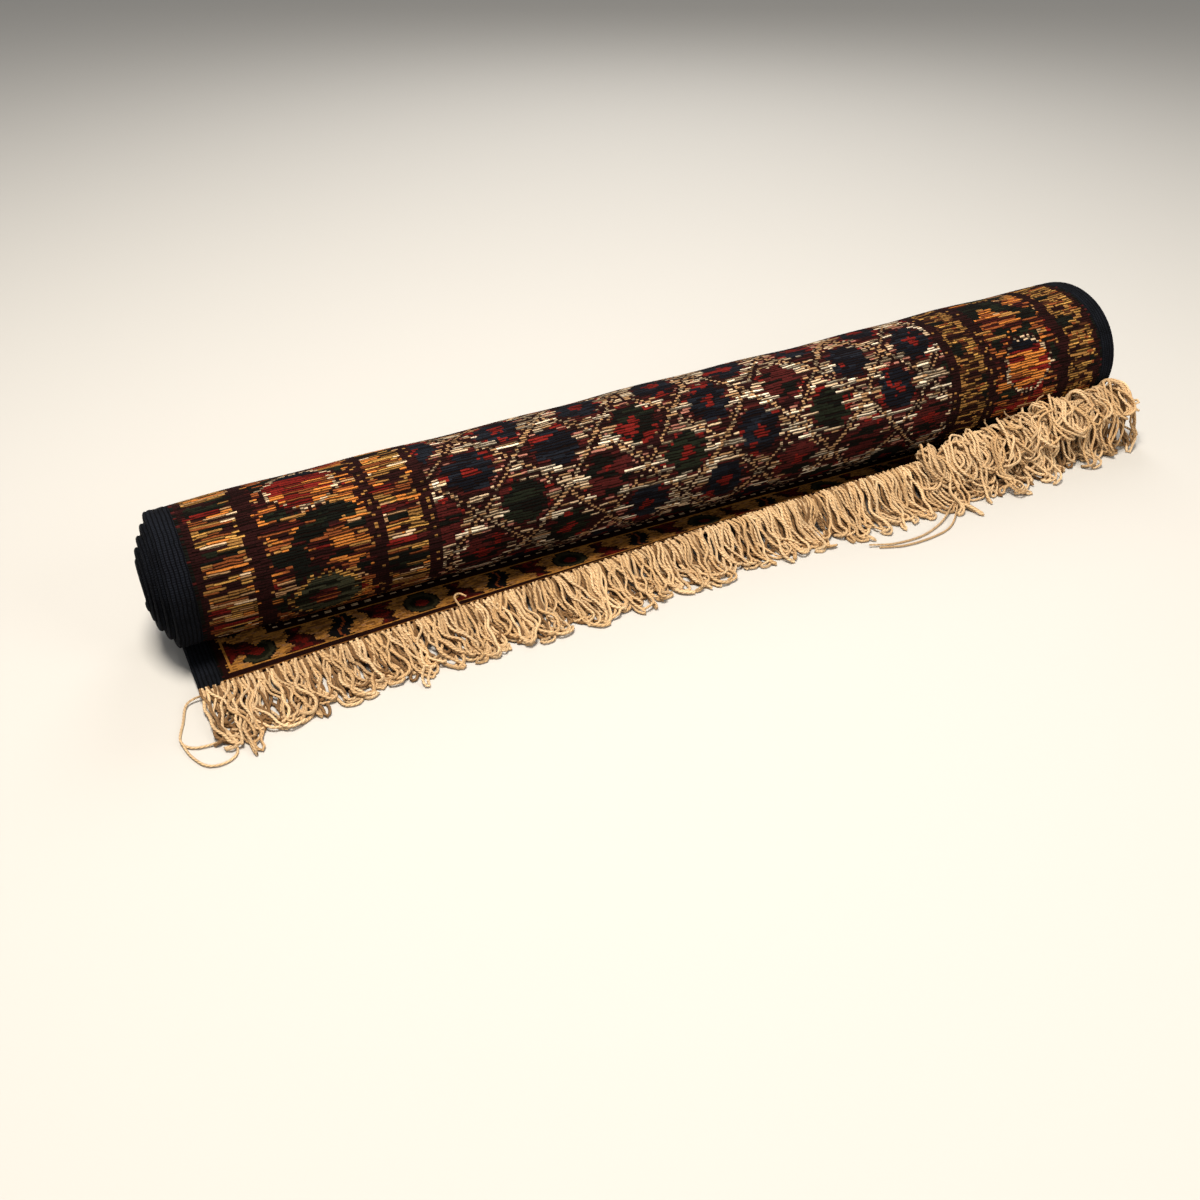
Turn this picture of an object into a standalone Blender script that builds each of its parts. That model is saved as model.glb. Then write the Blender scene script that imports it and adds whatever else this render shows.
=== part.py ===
"""A small knotted carpet rolled up along its length, lying on its loose fringed end.

Metres, +Z up. +X runs along the roll, -Y is the front, where the fringed end lies loose, and the
origin is at the middle of the footprint. The cloth starts at the fringe, lies flat, passes under
the roll, climbs its back and winds inwards. At the left end each turn stands further out than the
one round it, and at the right end it is sunk by as much, because the cloth is of one width.
"""

import math

import bmesh
import bpy

# Driving dimensions, in metres
RUG_WIDTH = 0.800
SHEET = 0.007  # one turn of the cloth, pressed as it is wound
TURNS = 5
RADIUS_LEFT = 0.0515  # half the height of the roll
RADIUS_RIGHT = 0.0605
SPREAD_LEFT = 0.97  # half its width, as a share of half its height
SPREAD_RIGHT = 1.09
SELVEDGE = 0.018  # overcast side edge
GAP = 0.0003
FLAT_DEPTH = 0.0004  # how far the roll is pressed flat where it rests

# How far the cloth has slipped to the left after 0, 1, 2 ... turns from the outside
SLIP_AFTER_TURN = (0.0, 0.004, 0.008, 0.012, 0.0135, 0.015, 0.0165)

# The loose end: (share of the width from the left, reach in front of the axis, lift of its edge,
# run of the fringe in front of that edge)
LOOSE_STATIONS = (
    (0.00, 0.0645, 0.0000, 0.069),
    (0.12, 0.0640, 0.0030, 0.055),
    (0.30, 0.0640, 0.0080, 0.053),
    (0.53, 0.0640, 0.0150, 0.045),
    (0.74, 0.0640, 0.0190, 0.052),
    (0.82, 0.0640, 0.0215, 0.052),
    (0.91, 0.0642, 0.0320, 0.047),
    (1.00, 0.0645, 0.0395, 0.044),
)
LOOSE_THICK = SHEET - FLAT_DEPTH - GAP
LIFT_START = 0.022  # the loose end stays flat this far in front of the axis

# The fringe
TUFTS = 56
TUFT_SHARE = 0.76  # of the pitch
FRINGE_THICK = 0.004
HEADER = 0.005
TUFT_ROWS = (0.25, 0.50, 0.75, 1.0)  # shares of a tuft, down to its tip
RUN_SPREAD = 0.006
LEAN_SPREAD = 0.007

STATIONS = 40  # around one turn
MARK_INSET = 0.006  # keeps the line of points that the wall's corner needs off the edges
LEFT = 0.0  # left edge of the outermost turn
RIGHT = LEFT + RUG_WIDTH

COLOURS = {
    "wound_cloth": ((0.20, 0.075, 0.040), 0.90),
    "loose_cloth": ((0.30, 0.160, 0.060), 0.92),
    "selvedge": ((0.012, 0.016, 0.026), 0.85),
    "fringe": ((0.72, 0.56, 0.34), 0.88),
}


def clear_scene():
    for obj in list(bpy.data.objects):
        bpy.data.objects.remove(obj, do_unlink=True)


def material(name):
    made = bpy.data.materials.new(name)
    made.use_nodes = True
    shader = made.node_tree.nodes["Principled BSDF"]
    colour, roughness = COLOURS[name.split(".")[0]]
    shader.inputs["Base Color"].default_value = (*colour, 1.0)
    shader.inputs["Roughness"].default_value = roughness
    shader.inputs["Metallic"].default_value = 0.0
    return made


def add_object(name, mesh, finish, home):
    obj = bpy.data.objects.new(name, mesh)
    obj.data.materials.append(material(f"{finish}.{name}"))
    home.objects.link(obj)
    return obj


def between(value, table, column):
    """Reads a column of a table of rows, whose first column rises, at any value."""
    for low, high in zip(table, table[1:]):
        if value <= high[0]:
            share = (value - low[0]) / (high[0] - low[0])
            share = max(0.0, share)
            return low[column] + share * (high[column] - low[column])
    return table[-1][column]


def smooth(share):
    share = min(1.0, max(0.0, share))
    return share * share * (3.0 - 2.0 * share)


def slip(turns):
    """How far left the cloth lies after this many turns, eased from turn to turn."""
    whole = min(int(turns), len(SLIP_AFTER_TURN) - 2)
    low, high = SLIP_AFTER_TURN[whole], SLIP_AFTER_TURN[whole + 1]
    return low + (high - low) * (turns - whole)


def along(x, at_left, at_right):
    """A size that changes evenly from the left edge to the right one."""
    return at_left + (at_right - at_left) * (x - LEFT) / RUG_WIDTH


def on_roll(x, radius_off, angle):
    """A point on the roll: angle 0 is at the bottom and turns up the back, towards +Y."""
    centre = along(x, RADIUS_LEFT, RADIUS_RIGHT)
    spread = along(x, SPREAD_LEFT, SPREAD_RIGHT)
    radius = centre - radius_off
    z = centre - radius * math.cos(angle) - FLAT_DEPTH
    return (x, spread * radius * math.sin(angle), max(0.0, z))


def wound_profile(station, left, right, left_offset, right_offset):
    """The stepped outline of the wound cloth at one angle, as points of the mesh.

    left and right are the x of the cloth's two edges at the start of the outermost turn, and the
    offsets move the radii of either side by a hair, to clear the neighbouring piece.
    """
    angle = 2.0 * math.pi * station / STATIONS
    part_turn = station / STATIONS

    def point(edge, turns, offset, depth_turns):
        x = edge - slip(turns)
        return on_roll(x, SHEET * depth_turns - offset * min(1.0, depth_turns), angle)

    outline = []
    for turn in reversed(range(TURNS)):
        turns = turn + part_turn
        outline.append(point(left, turns, left_offset, turns + 1))
        outline.append(point(left, turns, left_offset, turns))
    # A line of points round the outside, which ends at the corner of the wall at the seam
    mark = left + (MARK_INSET if station < STATIONS else 0.0)
    outline.append(on_roll(mark, SHEET * part_turn, angle))
    for turn in range(TURNS):
        turns = turn + part_turn
        outline.append(point(right, turns, right_offset, turns))
        outline.append(point(right, turns, right_offset, turns + 1))
    # A line of points round the hollow, which starts at the corner of the cloth's far end
    mark = right - slip(TURNS) - (MARK_INSET if station > 0 else 0.0)
    outline.append(on_roll(mark, SHEET * (TURNS + part_turn), angle))
    return outline


def wound_cloth(name, left, right, finish, home, left_offset=0.0, right_offset=0.0):
    """The wound form of the cloth between two edges, open along its core."""
    bm = bmesh.new()
    rings = []
    for station in range(STATIONS + 1):
        outline = wound_profile(station, left, right, left_offset, right_offset)
        rings.append([bm.verts.new(place) for place in outline])
    for ring, after in zip(rings, rings[1:]):
        for i in range(len(ring)):
            j = (i + 1) % len(ring)
            bm.faces.new((ring[i], ring[j], after[j], after[i]))
    bmesh.ops.remove_doubles(bm, verts=bm.verts, dist=0.00001)
    bmesh.ops.dissolve_degenerate(bm, edges=bm.edges, dist=0.00001)
    open_edges = [edge for edge in bm.edges if edge.is_boundary]
    bmesh.ops.holes_fill(bm, edges=open_edges, sides=0)
    bmesh.ops.recalc_face_normals(bm, faces=bm.faces)
    mesh = bpy.data.meshes.new(name)
    bm.to_mesh(mesh)
    bm.free()
    mesh.shade_smooth()
    mesh.set_sharp_from_angle(angle=math.radians(30))
    return add_object(name, mesh, finish, home)


def loose_reach(x):
    return between((x - LEFT) / RUG_WIDTH, LOOSE_STATIONS, 1)


def loose_lift(x):
    return between((x - LEFT) / RUG_WIDTH, LOOSE_STATIONS, 2)


def fringe_run(x):
    return between((x - LEFT) / RUG_WIDTH, LOOSE_STATIONS, 3)


def under_loose_end(x, share):
    """A point on the underside of the loose end, share 0 at the roll and 1 at its front edge."""
    reach = loose_reach(x)
    y = GAP + share * (reach - GAP)
    climb = max(0.0, (y - LIFT_START) / (reach - LIFT_START))
    return (x, -y, loose_lift(x) * climb**2)


def thicken(obj, thickness):
    """Gives a sheet its thickness, upwards from its underside."""
    solid = obj.modifiers.new("thickness", "SOLIDIFY")
    solid.thickness = thickness
    solid.offset = 1.0


def loose_cloth(name, left, right, finish, columns, home, rows=8):
    """A stretch of the loose end between two x, as a sheet that follows its lifted edge."""
    mesh = bpy.data.meshes.new(name)
    points = []
    for column in range(columns + 1):
        x = left + (right - left) * column / columns
        points += [under_loose_end(x, row / rows) for row in range(rows + 1)]
    faces = []
    for column in range(columns):
        for row in range(rows):
            corner = column * (rows + 1) + row
            beside = corner + rows + 1
            faces.append((corner, corner + 1, beside + 1, beside))
    mesh.from_pydata(points, [], faces)
    mesh.shade_smooth()
    mesh.set_sharp_from_angle(angle=math.radians(40))
    obj = add_object(name, mesh, finish, home)
    thicken(obj, LOOSE_THICK)
    return obj


def wander(index, pace):
    """A repeatable uneven value between -1 and 1."""
    return math.sin(index * pace) * 0.6 + math.sin(index * pace * 2.7 + 1.3) * 0.4


def under_tuft(x, run, lean):
    """A point under a tuft: it falls from the cloth's edge and then lies on the surface."""
    start = loose_lift(x)
    fall = 0.008 + 0.85 * start
    share = smooth(run / fall)
    z = start * (1.0 - share)
    bent = lean * (run / fringe_run(x)) ** 1.5
    return (x + bent, -(loose_reach(x) + GAP + run), z)


def fringe(home):
    """The fringe as one comb: a header along the cloth's front edge and a tooth for each tuft."""
    bm = bmesh.new()
    pitch = RUG_WIDTH / TUFTS
    half = 0.5 * pitch * TUFT_SHARE
    header_start, header_end = [], []
    for tuft in range(TUFTS):
        middle = LEFT + (tuft + 0.5) * pitch
        run = fringe_run(middle) - RUN_SPREAD * (0.5 + 0.5 * wander(tuft, 1.9))
        lean = LEAN_SPREAD * wander(tuft, 0.83)
        sides = []
        for x in (middle - half, middle + half):
            header_start.append(bm.verts.new(under_tuft(x, 0.0, 0.0)))
            header_end.append(bm.verts.new(under_tuft(x, HEADER, 0.0)))
            side = [header_end[-1]]
            for row in TUFT_ROWS:
                length = HEADER + row * (run - HEADER)
                side.append(bm.verts.new(under_tuft(x, length, lean)))
            sides.append(side)
        for i in range(len(TUFT_ROWS)):
            bm.faces.new((sides[0][i], sides[0][i + 1], sides[1][i + 1], sides[1][i]))
    for i in range(len(header_start) - 1):
        bm.faces.new(
            (header_start[i], header_end[i], header_end[i + 1], header_start[i + 1])
        )
    mesh = bpy.data.meshes.new("fringe")
    bm.to_mesh(mesh)
    bm.free()
    obj = add_object("fringe", mesh, "fringe", home)
    thicken(obj, FRINGE_THICK)
    return obj


def centre_on_footprint(objects, frame):
    """Moves the frame that carries the pieces, so that its origin is mid-footprint."""
    bpy.context.view_layer.update()
    graph = bpy.context.evaluated_depsgraph_get()
    lows = [math.inf, math.inf]
    highs = [-math.inf, -math.inf]
    for obj in objects:
        shown = obj.evaluated_get(graph).to_mesh()
        for vertex in shown.vertices:
            for axis in range(2):
                lows[axis] = min(lows[axis], vertex.co[axis])
                highs[axis] = max(highs[axis], vertex.co[axis])
    for axis in range(2):
        frame.location[axis] = -0.5 * (lows[axis] + highs[axis])


def build():
    clear_scene()
    home = bpy.data.collections.new("rolled_carpet")
    bpy.context.scene.collection.children.link(home)
    inner_left = LEFT + SELVEDGE
    inner_right = RIGHT - SELVEDGE
    pieces = [
        wound_cloth("rolled_body", inner_left, inner_right, "wound_cloth", home),
        wound_cloth(
            "roll_selvedge_left",
            LEFT,
            inner_left - GAP,
            "selvedge",
            home,
            right_offset=GAP,
        ),
        wound_cloth(
            "roll_selvedge_right",
            inner_right + GAP,
            RIGHT,
            "selvedge",
            home,
            left_offset=-GAP,
        ),
        loose_cloth("loose_end", inner_left, inner_right, "loose_cloth", 24, home),
        loose_cloth(
            "loose_selvedge_left", LEFT, inner_left - GAP, "selvedge", 2, home
        ),
        loose_cloth(
            "loose_selvedge_right", inner_right + GAP, RIGHT, "selvedge", 2, home
        ),
        fringe(home),
    ]
    frame = bpy.data.objects.new("carpet_frame", None)
    home.objects.link(frame)
    for piece in pieces:
        piece.parent = frame
    centre_on_footprint(pieces, frame)


build()
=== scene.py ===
"""The looks of a small knotted carpet, rolled up and lying on its loose fringed end.

Metres, +Z up. The cloth starts at the fringe in front (-Y), lies on the floor, passes under the
roll, climbs its back and winds inwards. u is the place across the rug, from its left edge. The
outside of the roll is the woven back of the carpet, and the loose end shows its pile.
"""

import math

import bpy
import numpy as np
from mathutils import Matrix, Vector


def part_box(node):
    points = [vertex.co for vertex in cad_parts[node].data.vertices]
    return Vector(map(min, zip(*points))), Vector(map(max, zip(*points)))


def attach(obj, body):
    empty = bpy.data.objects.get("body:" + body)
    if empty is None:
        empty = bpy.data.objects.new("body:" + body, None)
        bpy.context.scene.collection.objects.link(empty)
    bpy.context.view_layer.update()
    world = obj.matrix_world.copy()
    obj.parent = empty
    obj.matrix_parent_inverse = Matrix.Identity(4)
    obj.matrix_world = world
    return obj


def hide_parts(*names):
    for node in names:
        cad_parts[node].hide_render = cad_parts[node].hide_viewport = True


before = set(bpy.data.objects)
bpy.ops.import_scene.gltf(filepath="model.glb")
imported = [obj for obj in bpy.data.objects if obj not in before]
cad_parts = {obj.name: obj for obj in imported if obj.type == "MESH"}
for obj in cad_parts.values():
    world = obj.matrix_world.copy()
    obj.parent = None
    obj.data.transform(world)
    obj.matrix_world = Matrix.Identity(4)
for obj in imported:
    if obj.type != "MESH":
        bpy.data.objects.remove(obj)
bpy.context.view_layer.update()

# The rug, in metres
RUG_WIDTH = 0.800
SHEET = 0.007  # one turn of the cloth
CLOTH_THICK = 0.0062
TURNS = 5
RADIUS_LEFT = 0.0515  # half the height of the roll
RADIUS_RIGHT = 0.0605
SPREAD_LEFT = 0.97  # half its width, as a share of half its height
SPREAD_RIGHT = 1.09
SLIP_AFTER_TURN = (0.0, 0.004, 0.008, 0.012, 0.0135, 0.015, 0.0165)
SELVEDGE = 0.0160
CLOTH_WIDTH = RUG_WIDTH - 2.0 * SELVEDGE  # between the selvedges
GAP = 0.0003  # between the loose end and the roll's line of rest

# The loose end: (share of the width, reach in front of the axis, lift of its edge, fringe's run)
LOOSE_STATIONS = (
    (0.00, 0.0645, 0.0000, 0.069),
    (0.12, 0.0640, 0.0030, 0.055),
    (0.30, 0.0640, 0.0080, 0.053),
    (0.53, 0.0640, 0.0150, 0.045),
    (0.74, 0.0640, 0.0190, 0.052),
    (0.82, 0.0640, 0.0215, 0.052),
    (0.91, 0.0642, 0.0320, 0.047),
    (1.00, 0.0645, 0.0395, 0.044),
)
LIFT_START = 0.022  # in front of the axis; behind it the loose end lies flat

# Where the roll lies: its left edge and the line that it rests on
EDGE_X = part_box("loose_selvedge_left")[0].x
AXIS_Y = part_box("loose_end")[1].y + GAP

# Knots, in metres, and the shortest and longest strokes of one colour, in millimetres
ROW_PITCH = 0.0023
BACK_ROWS = 150
BACK_KNOT = 0.0024
BACK_STROKES = (6.5, 27.0)
INNER_ROWS = 224
INNER_KNOTS_ACROSS = 96
INNER_STROKES = (8.0, 24.0)
PILE_ROWS = 44
PILE_KNOT = 0.0016
PILE_STROKES = (2.0, 5.0)
WRAP_PITCH = 0.0015  # of the wool wound over the selvedges
SELVEDGE_CORDS = 6

# The fringe, in metres
LOOPS = 228
UNDER_LOOPS = 200
TURNED_UP_LOOPS = 72
TURNED_UP = (0.73, 0.995)  # between these shares of the width
LOOP_POINTS = 24  # along one side of a loop
CORD_RADIUS = 0.00108
PLY_PITCH = 0.0030
HEADER_RADIUS = 0.0018
THREAD_RADIUS = 0.0008
MESS_START = 0.70  # past this share of the width the fringe is turned up and tangled

# The design, in millimetres from the inner side of the selvedge
GUARD = (2.0, 37.5)
DASH_LINE = (40.5, 42.0)
MAIN_BORDER = (44.5, 115.0)
SMALL_DASHES = (117.0, 119.5)
INNER_GUARD = (122.0, 154.0)
SPECK_LINE = (156.5, 158.3)
FIELD_START = 161.0
SELVEDGE_MM = 18.0
END_MM = 4.0
MOTIF_PITCH = 29.25
MEANDER_PITCH = 9.2
DASH_PITCH = 9.6
DASH_LENGTH = 5.2
MEDALLION_PITCH = 99.0
MEDALLION_SHIFT = 33.0
DIAMOND_WIDE = 65.0
DIAMOND_TALL = 70.0
INNER_TURNS_START = 400.0  # where the design of the inner turns starts, from the fringed end
INNER_TURNS_SPAN = 850.0

# Where the outer turn's design starts, in metres from the fringed end, and how it winds on
OUTER_TURN_START = 0.0645
OUTER_TURN_RADIUS = 0.055
DESIGN_SKEW = 0.040  # how much further the right end has wound, per metre across

PILE_TONE_AND_SHADE = (0.56, 0.47, 0.38)  # the pile is darker and browner than the back of the same knots, and darker still for painted shade from the roll
COTTON_PALE = (0.82, 0.585, 0.335)
COTTON_DEEP = (0.58, 0.360, 0.165)
HEADER_COLOUR = (0.62, 0.42, 0.23)

WOOL = {
    "plum": (0.0155, 0.0040, 0.0038),
    "wine": (0.048, 0.0075, 0.0065),
    "crimson": (0.125, 0.0090, 0.0065),
    "brown": (0.052, 0.0170, 0.0065),
    "rust": (0.230, 0.062, 0.018),
    "orange": (0.470, 0.155, 0.030),
    "ochre": (0.270, 0.130, 0.036),
    "gold": (0.480, 0.250, 0.062),
    "tan": (0.340, 0.190, 0.090),
    "dusty_rose": (0.300, 0.120, 0.085),
    "cream": (0.560, 0.400, 0.250),
    "ivory": (0.800, 0.660, 0.480),
    "green_black": (0.0048, 0.0056, 0.0042),
    "dark_green": (0.0085, 0.0105, 0.0060),
    "grey_green": (0.034, 0.035, 0.020),
    "navy": (0.0048, 0.0054, 0.0085),
    "steel": (0.0075, 0.0090, 0.0130),
}


# ---- the shape of the rug ----


def along(x, at_left, at_right):
    """A size that changes evenly from the left edge to the right one."""
    return at_left + (at_right - at_left) * x / RUG_WIDTH


def station(u, column):
    """A column of the loose end's table, read at any place across the rug."""
    table = np.array(LOOSE_STATIONS)
    return np.interp(u / RUG_WIDTH, table[:, 0], table[:, column])


def slip(turns):
    """How far the edge has moved to the left after so many turns."""
    return np.interp(turns, range(len(SLIP_AFTER_TURN)), SLIP_AFTER_TURN)


def on_roll(u, turns, inward):
    """Points of the roll, at u across the rug, after so many turns, inward of the outer face."""
    u, turns, inward = np.broadcast_arrays(u, turns, inward)
    angle = 2.0 * np.pi * turns
    x = u - slip(turns)
    half = along(x, RADIUS_LEFT, RADIUS_RIGHT)
    uneven = 0.0005 * np.sin(x * 23.0 + angle * 2.0) + 0.0004 * np.sin(x * 61.0 - angle * 3.0)
    uneven = uneven * np.clip(np.sin(angle / 2.0) ** 2 * 3.0, 0.0, 1.0)  # none where it rests
    radius = half - SHEET * turns - inward + uneven
    y = along(x, SPREAD_LEFT, SPREAD_RIGHT) * radius * np.sin(angle)
    z = np.maximum(half - radius * np.cos(angle), 0.0)
    return np.stack([EDGE_X + x, AXIS_Y + y, z], -1)


def on_loose_end(u, share, depth):
    """Points of the loose end: share 0 at its front edge, 1 under the roll; depth below its top."""
    u, share, depth = np.broadcast_arrays(u, share, depth)
    reach = station(u, 1)
    lift = station(u, 2)
    forward = GAP + (reach - GAP) * (1.0 - share)
    span = reach - LIFT_START
    climb = np.maximum(0.0, (forward - LIFT_START) / span)
    slope = 2.0 * lift * climb / span
    lean = np.sqrt(1.0 + slope**2)
    above = CLOTH_THICK - depth
    y = AXIS_Y - forward + above * slope / lean
    z = lift * climb**2 + above / lean
    return np.stack([EDGE_X + u, y, z], -1)


# ---- the woven design ----


def between(value, band):
    return (value >= band[0]) & (value < band[1])


def strokes_of(rng, rows, columns, knot, shortest, longest):
    """Cuts each row into strokes: for each knot its start and length, and two random values."""
    made = np.zeros((4, rows, columns))
    for row in range(rows):
        start = -int(rng.integers(0, 8))
        while start < columns:
            wanted = shortest + (longest - shortest) * rng.random() ** 2
            length = max(2, round(wanted / knot))
            low, high = max(0, start), min(columns, start + length)
            values = (start * knot, length * knot, rng.random(), rng.random())
            for layer, value in zip(made, values):
                layer[row, low:high] = value
            start += length
    return made


def cell_value(a, b):
    """A repeatable value from 0 to 1 for each pair of whole numbers."""
    mixed = np.sin(a * 12.9898 + b * 78.233) * 43758.5453
    return mixed - np.floor(mixed)


def soft_noise(a, b):
    """An even, rounded noise from 0 to 1 over two coordinates."""
    whole_a, whole_b = np.floor(a), np.floor(b)
    share_a = (a - whole_a) ** 2 * (3.0 - 2.0 * (a - whole_a))
    share_b = (b - whole_b) ** 2 * (3.0 - 2.0 * (b - whole_b))

    def blend_a(b_line):
        before, after = cell_value(whole_a, b_line), cell_value(whole_a + 1, b_line)
        return before * (1 - share_a) + after * share_a

    return blend_a(whole_b) * (1 - share_b) + blend_a(whole_b + 1) * share_b


def in_patches(values, a, b, share):
    """Random values drawn together into soft patches, still spread evenly from 0 to 1."""
    mixed = (1.0 - share) * values + share * (1.6 * soft_noise(a, b) - 0.3)
    return np.argsort(np.argsort(mixed)) / len(mixed)


def eight_sided(a, b):
    """The size of the octagon that passes through a point."""
    return np.maximum(np.maximum(np.abs(a), np.abs(b)), 0.72 * (np.abs(a) + np.abs(b)))


def ground_of(tone, first, *steps):
    """A colour for each knot: the first one, and past each step of tone the next one."""
    colour = np.empty(tone.shape + (3,))
    colour[:] = WOOL[first]
    for least, name in steps:
        colour[tone > least] = WOOL[name]
    return colour


def guard_strokes(place, across, tone, kind):
    """The guard as its back shows it: gold strokes with crimson patches and dark green blots."""
    steps = (0.20, "ochre"), (0.50, "gold"), (0.74, "tan"), (0.84, "orange"), (0.96, "cream")
    colour = ground_of(tone, "rust", *steps)
    patch = soft_noise(place / 9.0, across * 2.6 + 7.0)
    colour[(patch < 0.27) & (kind < 0.8)] = WOOL["wine"]
    colour[(patch < 0.20) & (kind > 0.35)] = WOOL["crimson"]
    blot = soft_noise(place / 10.0 + 40.0, across * 2.2)
    colour[(blot > 0.67) & (kind < 0.80)] = WOOL["green_black"]
    colour[(blot > 0.76) & (tone > 0.6)] = WOOL["dark_green"]
    colour[kind < 0.17] = WOOL["plum"]
    return colour


def guard_motifs(place, across, tone):
    """Rosettes, blossoms and leaves in turn on a gold ground; across runs from 0 to 1."""
    colour = ground_of(tone, "ochre", (0.35, "gold"), (0.85, "tan"))
    index = np.round(place / MOTIF_PITCH)
    off = place - index * MOTIF_PITCH
    order = np.mod(index, 4)
    side = (across - 0.5) * 34.0
    teeth = 1.3 * np.abs(np.mod(side / 4.2, 1.0) * 2.0 - 1.0)
    round_r = eight_sided(off, side)
    rosette = order == 0
    colour[rosette & (round_r < 12.4 + teeth)] = WOOL["green_black"]
    colour[rosette & (round_r < 11.0 + teeth)] = WOOL["grey_green"]
    colour[rosette & (round_r < 8.4)] = WOOL["dark_green"]
    colour[rosette & (round_r < 4.4)] = WOOL["crimson"]
    blossom = np.mod(order, 2) == 1
    flip = np.where(order == 1, 1.0, -1.0)
    bell = 8.6 - 0.30 * (side * flip + 6.0) + 2.2 * np.cos(side * 0.52) + teeth
    inside = blossom & (np.abs(off + 2.5 * np.sin(side * 0.2)) < bell)
    colour[inside] = WOOL["plum"]
    colour[inside & (np.abs(off) < bell - 2.2)] = WOOL["wine"]
    colour[inside & (np.abs(off) < bell - 4.0) & (tone > 0.45)] = WOOL["crimson"]
    leaf = order == 2
    blade = 7.2 * np.cos(np.clip(side / 19.0, -1.0, 1.0) * 1.5) + 2.6 * teeth - 0.5
    bend = np.abs(off - 3.5 * np.sin(side * 0.22))
    colour[leaf & (bend < blade)] = WOOL["green_black"]
    colour[leaf & (bend < blade - 2.4)] = WOOL["navy"]
    colour[leaf & (bend < 0.9)] = WOOL["rust"]
    colour[(across < 0.05) | (across > 0.95)] = WOOL["plum"]
    edge_line = between(across, (0.05, 0.10)) | between(across, (0.90, 0.95))
    colour[edge_line] = WOOL["gold"]
    return colour


def guard_meander(place, across, tone):
    """Long tan loops side by side on a dark brown ground."""
    colour = ground_of(tone, "plum", (0.40, "brown"), (0.88, "rust"))
    bend = place + 1.6 * np.sin(across * 9.0 + np.floor(place / MEANDER_PITCH) * 2.0)
    step = np.floor(bend / MEANDER_PITCH)
    phase = np.mod(bend, MEANDER_PITCH)
    reach = 0.10 + 0.12 * cell_value(step, 3.0)
    bar = (phase < 3.4) & between(across, (0.08, 0.93))
    turn = np.where(np.mod(step, 2) == 0, across < reach + 0.08, across > 0.98 - reach)
    line = bar | (turn & between(across, (0.05, 0.95)))
    colour[line] = WOOL["ochre"]
    colour[line & (tone > 0.55)] = WOOL["gold"]
    core = between(phase, (4.6, 6.8)) & between(across, (0.28, 0.76)) & (tone > 0.45)
    colour[core] = WOOL["ochre"]
    blob = soft_noise(place / 15.0 + 9.0, across * 1.5) > 0.70
    colour[blob & (tone < 0.7)] = WOOL["green_black"]
    return colour


def main_border(place, across, tone, kind, right):
    """Toothed medallions on a rust ground with dark blots; across is in mm from its middle."""
    steps = (0.22, "rust"), (0.50, "orange"), (0.80, "ochre"), (0.92, "tan")
    colour = ground_of(tone, "wine", *steps)
    colour[kind < 0.17] = WOOL["plum"]
    place = place + np.where(right, 20.0, 0.0)
    index = np.round((place - MEDALLION_SHIFT) / MEDALLION_PITCH)
    off = place - MEDALLION_SHIFT - index * MEDALLION_PITCH
    blot = soft_noise(place / 11.0 + 3.0, across / 13.0 + 20.0)
    colour[(blot > 0.65) & (kind < 0.82)] = WOOL["green_black"]
    colour[(blot > 0.76) & (tone > 0.6)] = WOOL["dark_green"]
    colour[(blot < 0.24) & (tone > 0.4)] = WOOL["crimson"]
    margin = np.abs(across) > 32.5
    colour[margin & (kind < 0.80)] = WOOL["plum"]
    teeth = np.where(np.mod(off + across, 4.6) < 2.3, 1.1, -0.7)
    square = np.maximum(np.abs(off), 0.96 * np.abs(across))
    size = np.maximum(square, 0.72 * (np.abs(off) + np.abs(across)))
    outline = 22.0 + teeth
    colour[size < outline + 3.0] = WOOL["plum"]
    even = np.mod(index + np.where(right, 1.0, 0.0), 2) == 0
    ring = (size < outline + 1.0) & (size > outline - 1.3)
    colour[ring] = WOOL["gold"]
    colour[ring & even] = WOOL["cream"]
    within = size <= outline - 1.3
    bright, dim = within & even, within & ~even
    colour[bright] = WOOL["rust"]
    colour[bright & (tone > 0.30)] = WOOL["orange"]
    colour[bright & (kind < 0.30)] = WOOL["crimson"]
    colour[bright & between(off, (-21.0, -13.0))] = WOOL["navy"]
    colour[bright & between(off, (-13.0, -3.0)) & (tone < 0.8)] = WOOL["crimson"]
    colour[dim] = WOOL["grey_green"]
    colour[dim & (tone < 0.45)] = WOOL["dark_green"]
    colour[dim & (size < 9.0)] = WOOL["rust"]
    colour[dim & (size < 9.0) & (kind < 0.4)] = WOOL["wine"]
    return colour


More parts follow.
